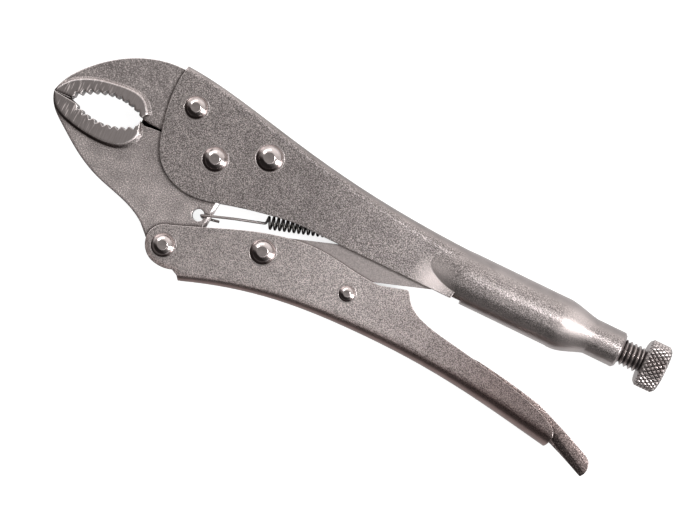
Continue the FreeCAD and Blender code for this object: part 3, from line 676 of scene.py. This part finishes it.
def lay_out(name, grid, material, crease=35.0, ridge=None):
    """A closed skin over a grid of points in millimetres; rows run round the piece.

    A row whose points all meet closes into a pole.  The faces are turned outwards by
    the sign of the enclosed volume, and edges sharper than the crease stay sharp.
    """
    rows, around = grid.shape[:2]
    vertices = grid.reshape(-1, 3) * MM
    row, column = np.meshgrid(np.arange(rows - 1), np.arange(around), indexing="ij")
    beside = (column + 1) % around
    faces = np.stack([row * around + column, row * around + beside,
                      (row + 1) * around + beside, (row + 1) * around + column], -1)
    faces = faces.reshape(-1, 4)
    a, b, c, d = (vertices[faces[:, k]] for k in range(4))
    volume = (np.cross(b, c) * a).sum() + (np.cross(c, d) * a).sum()
    if volume < 0:
        faces = faces[:, ::-1]
    mesh = bpy.data.meshes.new(name)
    mesh.from_pydata(vertices.tolist(), [], faces.tolist())
    if ridge is not None:
        mesh.attributes.new("ridge", "FLOAT", "POINT").data.foreach_set("value", ridge.ravel())
    work = bmesh.new()
    work.from_mesh(mesh)
    bmesh.ops.remove_doubles(work, verts=work.verts, dist=MERGE)
    work.to_mesh(mesh)
    work.free()
    mesh.polygons.foreach_set("use_smooth", np.ones(len(mesh.polygons), bool))
    mesh.set_sharp_from_angle(angle=math.radians(crease))
    mesh.materials.append(material)
    obj = bpy.data.objects.new(name, mesh)
    bpy.context.scene.collection.objects.link(obj)
    return obj


def fit(obj, body, node):
    """The piece rides on its body in place of a CAD node, which it hides."""
    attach(obj, body)
    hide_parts(node)
    return obj


def round_angles(count):
    """So many angles evenly spaced round a full turn."""
    return np.linspace(0, TAU, count, endpoint=False)


def turned(along, radius, start, axis, count):
    """Rings about a line: at each station a circle of that radius round the axis.

    along and radius are arrays over the stations; radius may also vary round the ring.
    """
    turn = round_angles(count)
    axis = np.array(axis, float)
    side = np.cross(axis, ALONG_Z) if abs(axis[2]) < 0.9 else np.array((1.0, 0, 0))
    side /= np.linalg.norm(side)
    other = np.cross(axis, side)
    radius = np.broadcast_to(np.asarray(radius, float).reshape(len(along), -1),
                             (len(along), count))
    ring = (np.cos(turn)[:, None] * side + np.sin(turn)[:, None] * other)[None]
    return np.asarray(start) + np.asarray(along)[:, None, None] * axis + radius[..., None] * ring


def capped(grid):
    """A grid closed at both ends by a point in the middle of the end row."""
    ends = np.repeat(grid[[0, -1]].mean(1, keepdims=True), grid.shape[1], 1)
    return np.concatenate([ends[:1], grid, ends[1:]])


# ------------------------------------------------------------------ rivets

RIVETS = ("front_jaw_rivet", "rear_jaw_rivet", "jaw_pivot_rivet",
          "lever_pivot_rivet", "link_rivet", "release_rivet")
HEAD_FOOT = 0.1         # from the plate up to the head's foot, and from the head out to its lip
FACET = 0.42            # the facet's radius as a share of the head's
FACET_DROP = 0.02       # the facet's eased rim: this far down, and
FACET_EASE = 0.92       # this share of its radius in
SHANK = 0.55            # the shank's radius as a share of the head's
LIP_WIDTH = 0.6
LIP_RISE = 0.02         # the least that the lip stands over the plate
LIP_HEIGHT = 0.05
DOME_ROWS = 16
LIP_ROWS = 11
RIVET_AROUND = 72


def rivet(node, material):
    """Two domed heads on a shank, and round each head a low lip pressed up out of the plate.

    A head is the part of a sphere between the facet's rim and its foot; the lip is a full
    wave of a cosine, so a shallow groove runs between the foot and the lip.
    """
    low, high = node_box(node)
    centre = (low + high) / 2
    head, top = (high[0] - low[0]) / 2, (high[2] - low[2]) / 2
    foot = PLATE_LEVEL + HEAD_FOOT
    facet = FACET * head
    middle = (top + foot - (head ** 2 - facet ** 2) / (top - foot)) / 2
    sphere = math.hypot(facet, top - middle)
    turn = np.linspace(math.atan2(head, foot - middle), math.atan2(facet, top - middle),
                       DOME_ROWS)
    dome_radius, dome_level = sphere * np.sin(turn), middle + sphere * np.cos(turn)
    wave = np.linspace(0, TAU, LIP_ROWS)
    lip_radius = head + HEAD_FOOT + LIP_WIDTH * (1 - wave / TAU)
    lip_level = PLATE_LEVEL + LIP_RISE + LIP_HEIGHT * (1 - np.cos(wave)) / 2
    radius = np.concatenate([[SHANK * head], lip_radius, dome_radius, [facet * FACET_EASE, 0.0]])
    level = np.concatenate([[PLATE_LEVEL], lip_level, dome_level[:-1],
                            [top - FACET_DROP, top, top]])
    level = np.concatenate([-level[::-1], level])
    radius = np.concatenate([radius[::-1], radius])
    grid = turned(level, radius, centre, ALONG_Z, RIVET_AROUND)
    return lay_out(node + "_head", grid, material, crease=50.0)


# ------------------------------------------------------------------ screw and knob

THREAD_PITCH = 1.75
THREAD_DEPTH = 1.0
THREAD_ROWS = 14        # rows of points to a pitch
THREAD_AROUND = 56
WAVE_GAIN = 1.25        # the wave is drawn out past 0 and 1 and cut off there, which
WAVE_DROP = 0.1         # leaves narrow flats in the roots and on the crests
THREAD_START = 4.0      # length over which the thread deepens from the tip
THREAD_END = 1.2        # and over which it runs out at the knob
TIP_ROUND = 2.2         # length of the rounded tip
TIP_LEAST = 0.45        # the tip's smallest radius as a share of the thread's


def threaded_screw(material):
    """A screw whose radius follows a triangular wave along its helix, cut off flat.

    At distance x along the axis and angle a round it, the wave's phase is
    x / pitch - a / tau, so the crests wind once per pitch.  The tip is a quarter of
    an ellipse.
    """
    low, high = node_box("adjusting_screw")
    outer = (high[1] - low[1]) / 2
    length = high[0] - low[0] - SPIGOT_LENGTH
    start = (low[0], SCREW_AXIS, MIDDLE)
    x = np.linspace(0, length, int(length / THREAD_PITCH * THREAD_ROWS))
    phase = (x[:, None] / THREAD_PITCH - round_angles(THREAD_AROUND)[None] / TAU) % 1.0
    wave = np.clip(WAVE_GAIN * np.abs(2 * phase - 1) - WAVE_DROP, 0, 1)
    cut = np.clip(np.minimum(x / THREAD_START, (length - x) / THREAD_END), 0, 1)[:, None]
    tip = np.sqrt(1 - np.clip(1 - x / TIP_ROUND, 0, 1) ** 2)[:, None]
    radius = outer - THREAD_DEPTH * (1 - wave * cut)
    radius = radius * (TIP_LEAST + (1 - TIP_LEAST) * tip)
    grid = capped(turned(x, radius, start, ALONG_X, THREAD_AROUND))
    ridge = np.pad(wave * cut, ((1, 1), (0, 0)), constant_values=0.5)
    return lay_out("threaded_screw", grid, material, crease=60.0, ridge=ridge)


KNURLS = 30             # grooves round the knob in each family
KNURL_DEPTH = 0.6
KNURL_LEAN = 1.28       # length of a diamond over its width
KNURL_SIDES = 3.0       # steepness of a groove's sides
KNURL_POINTS = 14       # points round the knob to a groove
KNOB_ROWS = 100
KNOB_CHAMFER = 1.1
KNOB_DISH = 0.25        # depth of the dished end face
DISH_RIM = 6.2
DISH_FLOOR = 5.9


def knurled_knob(material):
    """A drum with chamfered rims, cut by two families of crossing grooves.

    With a the angle and x the distance along the drum, the grooves lie where
    n a / tau + x / lead and n a / tau - x / lead are whole numbers.
    """
    low, high = node_box("adjusting_knob")
    outer, length = (high[1] - low[1]) / 2, high[0] - low[0]
    lead = TAU * outer / KNURLS * KNURL_LEAN
    count = KNURLS * KNURL_POINTS
    x = np.linspace(0, length, KNOB_ROWS)
    around, ahead = KNURLS * round_angles(count)[None] / TAU, x[:, None] / lead
    groove = np.zeros((len(x), count))
    for family in ((around + ahead) % 1.0, (around - ahead) % 1.0):
        off = np.minimum(family, 1 - family)
        groove = np.maximum(groove, np.clip(1 - KNURL_SIDES * off, 0, 1))
    drum = outer - KNURL_DEPTH * groove
    rim = outer - KNOB_CHAMFER
    chamfer = rim + np.minimum(np.minimum(x, length - x), KNOB_CHAMFER)
    radius = np.minimum(drum, chamfer[:, None])
    start = (low[0], SCREW_AXIS, MIDDLE)
    dish = length - KNOB_DISH
    front = turned([0.0, 0.0], [0.0, rim], start, ALONG_X, count)
    skin = turned(x, radius, start, ALONG_X, count)
    back = turned([length, length, dish, dish], [rim, DISH_RIM, DISH_FLOOR, 0.0], start,
                  ALONG_X, count)
    ridge = np.pad(1 - groove, ((len(front), len(back)), (0, 0)), constant_values=0.5)
    return lay_out("knurled_knob", np.concatenate([front, skin, back]), material, crease=28.0,
                   ridge=ridge)


# ------------------------------------------------------------------ spring

WIRE = 0.5                      # radius of the wire
COIL = 2.65                     # radius of the coil, over the wire
COIL_PITCH = 1.78
COIL_POINTS = 22                # points of the path to a turn
WIRE_AROUND = 10
SPRING_START = (27.6, -12.4)    # X and Y of the coil's end towards the moving jaw
SPRING_END = (66.6, 0.0)        # X and Y of its end inside the handle
SPRING_HOOK = (72.4, 1.7)       # where the rear hook turns down behind its tongue
HOOK_TIP = (11.0, -20.1)        # the front hook's free end, under the tab
HOOK_BELOW = (4.3, -21.4)       # where the wire goes up into the tab's hole,
HOOK_ABOVE = (4.3, -20.7)       # where it comes out again
HOOK_LEG = (16.0, -16.6)        # and where its leg over the tab ends
HOOK_GAP = 0.15                 # between the wire and the tab's faces
BEND_BEFORE = 0.9               # the last bend before the coil: along its axis,
BEND_ASIDE = 0.5                # beside it
BEND_OVER = 0.4                 # and over the middle of the tool
PATH_STEP = 0.25
CORNER_LENGTH = 1.6             # length over which a corner is eased


def rounded_path(corners):
    """Points evenly spaced along straight runs, eased round the corners by averaging."""
    corners = np.array(corners, float)
    lengths = np.linalg.norm(np.diff(corners, axis=0), axis=1)
    at = np.concatenate([[0], np.cumsum(lengths)])
    where = np.arange(0, at[-1], PATH_STEP)
    path = np.stack([np.interp(where, at, corners[:, k]) for k in range(3)], -1)
    window = max(int(CORNER_LENGTH / PATH_STEP) | 1, 3)
    padded = np.concatenate([np.repeat(path[:1], window // 2, 0), path,
                             np.repeat(path[-1:], window // 2, 0)])
    kernel = np.hanning(window + 2)[1:-1]
    kernel /= kernel.sum()
    return np.stack([np.convolve(padded[:, k], kernel, "valid") for k in range(3)], -1)


def tube(path, radius, count):
    """Rings carried along a path without twist, closed by a point at each end."""
    tangent = np.gradient(path, axis=0)
    tangent /= np.linalg.norm(tangent, axis=1)[:, None]
    side = np.zeros_like(path)
    start = np.cross(tangent[0], (0.3, 0.2, 1.0))
    side[0] = start / np.linalg.norm(start)
    for k in range(1, len(path)):
        carried = side[k - 1] - tangent[k] * np.dot(side[k - 1], tangent[k])
        side[k] = carried / np.linalg.norm(carried)
    other = np.cross(tangent, side)
    turn = round_angles(count)[None, :, None]
    ring = np.cos(turn) * side[:, None] + np.sin(turn) * other[:, None]
    return capped(path[:, None] + radius * ring)


def jaw_spring(material):
    """A coil between two hooks: a point goes evenly along the coil's axis while it turns.

    The front hook comes up through the hole in the moving jaw's tab; the rear one turns
    down behind the tongue inside the handle.
    """
    over = TAB_LEVEL + WIRE + HOOK_GAP
    start, end = np.array((*SPRING_START, 0.0)), np.array((*SPRING_END, 0.0))
    length = np.linalg.norm(end - start)
    axis = (end - start) / length
    across = np.cross(ALONG_Z, axis)
    turns = round(length / COIL_PITCH)
    a = np.linspace(0, TAU * turns, turns * COIL_POINTS + 1)[:, None]
    s = np.linspace(0, length, len(a))[:, None]
    mean = COIL - WIRE
    coil = start + s * axis + mean * (np.cos(a) * across + np.sin(a) * np.array(ALONG_Z))
    bend = (*(start - BEND_BEFORE * axis - BEND_ASIDE * across)[:2], BEND_OVER)
    front = rounded_path([(*HOOK_TIP, -over), (*HOOK_BELOW, -over), (*HOOK_ABOVE, over),
                          (*HOOK_LEG, over), bend, coil[0]])
    rear = rounded_path([coil[-1], (*SPRING_HOOK, 0.0), (*SPRING_HOOK, -mean)])
    path = np.concatenate([front[:-2], coil, rear[2:]]) + (0, 0, MIDDLE)
    return lay_out("wound_spring", tube(path, WIRE, WIRE_AROUND), material, crease=60.0)


# ------------------------------------------------------------------ fin and sheet that stand for the shade in the slits

# Borders of the split behind the mouth, X and Y: the fixed jaw's above, the moving jaw's below.
SPLIT_ABOVE = ((-31.0, -28.1, -22.2, -9.0), (2.0, 1.35, 1.15, 1.0))
SPLIT_BELOW = ((-30.9, -29.0, -26.6, -22.2, -9.0), (0.7, -0.3, 0.1, 0.45, 0.3))
FIN_REACH = (-30.9, -12.0)      # X of the fin's ends
FIN_OVERLAP = 0.2               # into the fixed jaw
FIN_GAP = 0.06                  # to the moving jaw
FIN_ROOT = 1.4                  # half thicknesses at the fixed jaw and at the lip
FIN_LIP = 0.3
FIN_FADE = (-31.2, 1.2)         # X from which it thickens, and over what length
FIN_LEAST = 0.2                 # the least share of its thickness
FIN_ROWS = 50


def split_shade_fin(material):
    """A thin fin half way up the fixed jaw's edge, along the split, that stands for the shade
    deep in the split.

    Its section is a wedge that narrows from the jaw's edge down to a lip just clear of
    the moving jaw; both borders are straight lines between a few points.
    """
    x = np.linspace(*FIN_REACH, FIN_ROWS)
    above = np.interp(x, *SPLIT_ABOVE) + FIN_OVERLAP
    below = np.interp(x, *SPLIT_BELOW) + FIN_GAP
    fade = np.clip((x - FIN_FADE[0]) / FIN_FADE[1], FIN_LEAST, 1.0)
    section = ((above, FIN_ROOT), (below, FIN_LIP), (below, -FIN_LIP), (above, -FIN_ROOT))
    grid = np.stack([np.stack([x, y, MIDDLE + half * fade], -1) for y, half in section], 1)
    return lay_out("split_shade_fin", capped(grid), material)


TIP_SHEET_REACH = (-64.45, -57.9)  # X of the sheet's ends
TIP_SHEET_TOP = -2.6               # Y of its faces
TIP_SHEET_BOTTOM = -2.88
TIP_SHEET_HALF = 5.33              # half its width
TIP_SHEET_CURVE = (-63.6, 1.6)     # X from which its end is rounded, and the rounding's reach
TIP_SHEET_ROWS = 24


def tip_shade_sheet(material):
    """A thin flat sheet under the fixed jaw's tip, where the two jaws meet, that stands for the
    shade in the slit between them.

    It is a plate about a quarter of a millimetre thick, its outer end rounded to an arc.
    """
    x = np.linspace(*TIP_SHEET_REACH, TIP_SHEET_ROWS)
    past = np.clip((TIP_SHEET_CURVE[0] - x) / TIP_SHEET_CURVE[1], 0, 1)
    half = TIP_SHEET_HALF * np.sqrt(1 - past ** 2)
    section = ((TIP_SHEET_TOP, 1), (TIP_SHEET_BOTTOM, 1), (TIP_SHEET_BOTTOM, -1), (TIP_SHEET_TOP, -1))
    grid = np.stack([np.stack([x, np.full_like(x, y), MIDDLE + side * half], -1)
                     for y, side in section], 1)
    return lay_out("tip_shade_sheet", capped(grid), material)


# ------------------------------------------------------------------ put together

floor()
camera()
world()
bpy.context.scene.view_settings.view_transform = "Standard"
for lamp in LAMPS:
    softbox(*lamp)

NICKEL = blasted_nickel()
SHADED_LEVER = shaded_lever_nickel()
BLADE = pressed_blade()
FORGED = forged_steel()
LINK = link_steel()
RIVET = polished_rivet()
THREAD = cut_steel("thread_steel", root=0.09, crest=0.5, low=0.24, high=0.4)
KNURL = cut_steel("knurl_steel", root=0.06, crest=0.5, low=0.26, high=0.4)
SPRING = spring_wire()

FINISHES = {"upper_handle": NICKEL, "lever": SHADED_LEVER, "release_lever": BLADE,
            "toggle_link": LINK, "fixed_jaw": FORGED, "moving_jaw": FORGED}
for name, node in frame["nodes"].items():
    node.data.materials.clear()
    node.data.materials.append(FINISHES.get(name, NICKEL))

BODY_OF = {n: b for b, ns in frame["record"]["behaviour"]["bodies"].items() for n in ns}

for node in RIVETS:
    fit(rivet(node, RIVET), BODY_OF[node], node)
fit(threaded_screw(THREAD), BODY_OF["adjusting_screw"], "adjusting_screw")
fit(knurled_knob(KNURL), BODY_OF["adjusting_knob"], "adjusting_knob")
# the fin and the sheet stand for the shade in the slits between the jaws
for piece in (split_shade_fin(FORGED), tip_shade_sheet(FORGED)):
    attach(piece, BODY_OF["fixed_jaw"])
spring = jaw_spring(SPRING)
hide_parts("jaw_spring")
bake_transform(spring)
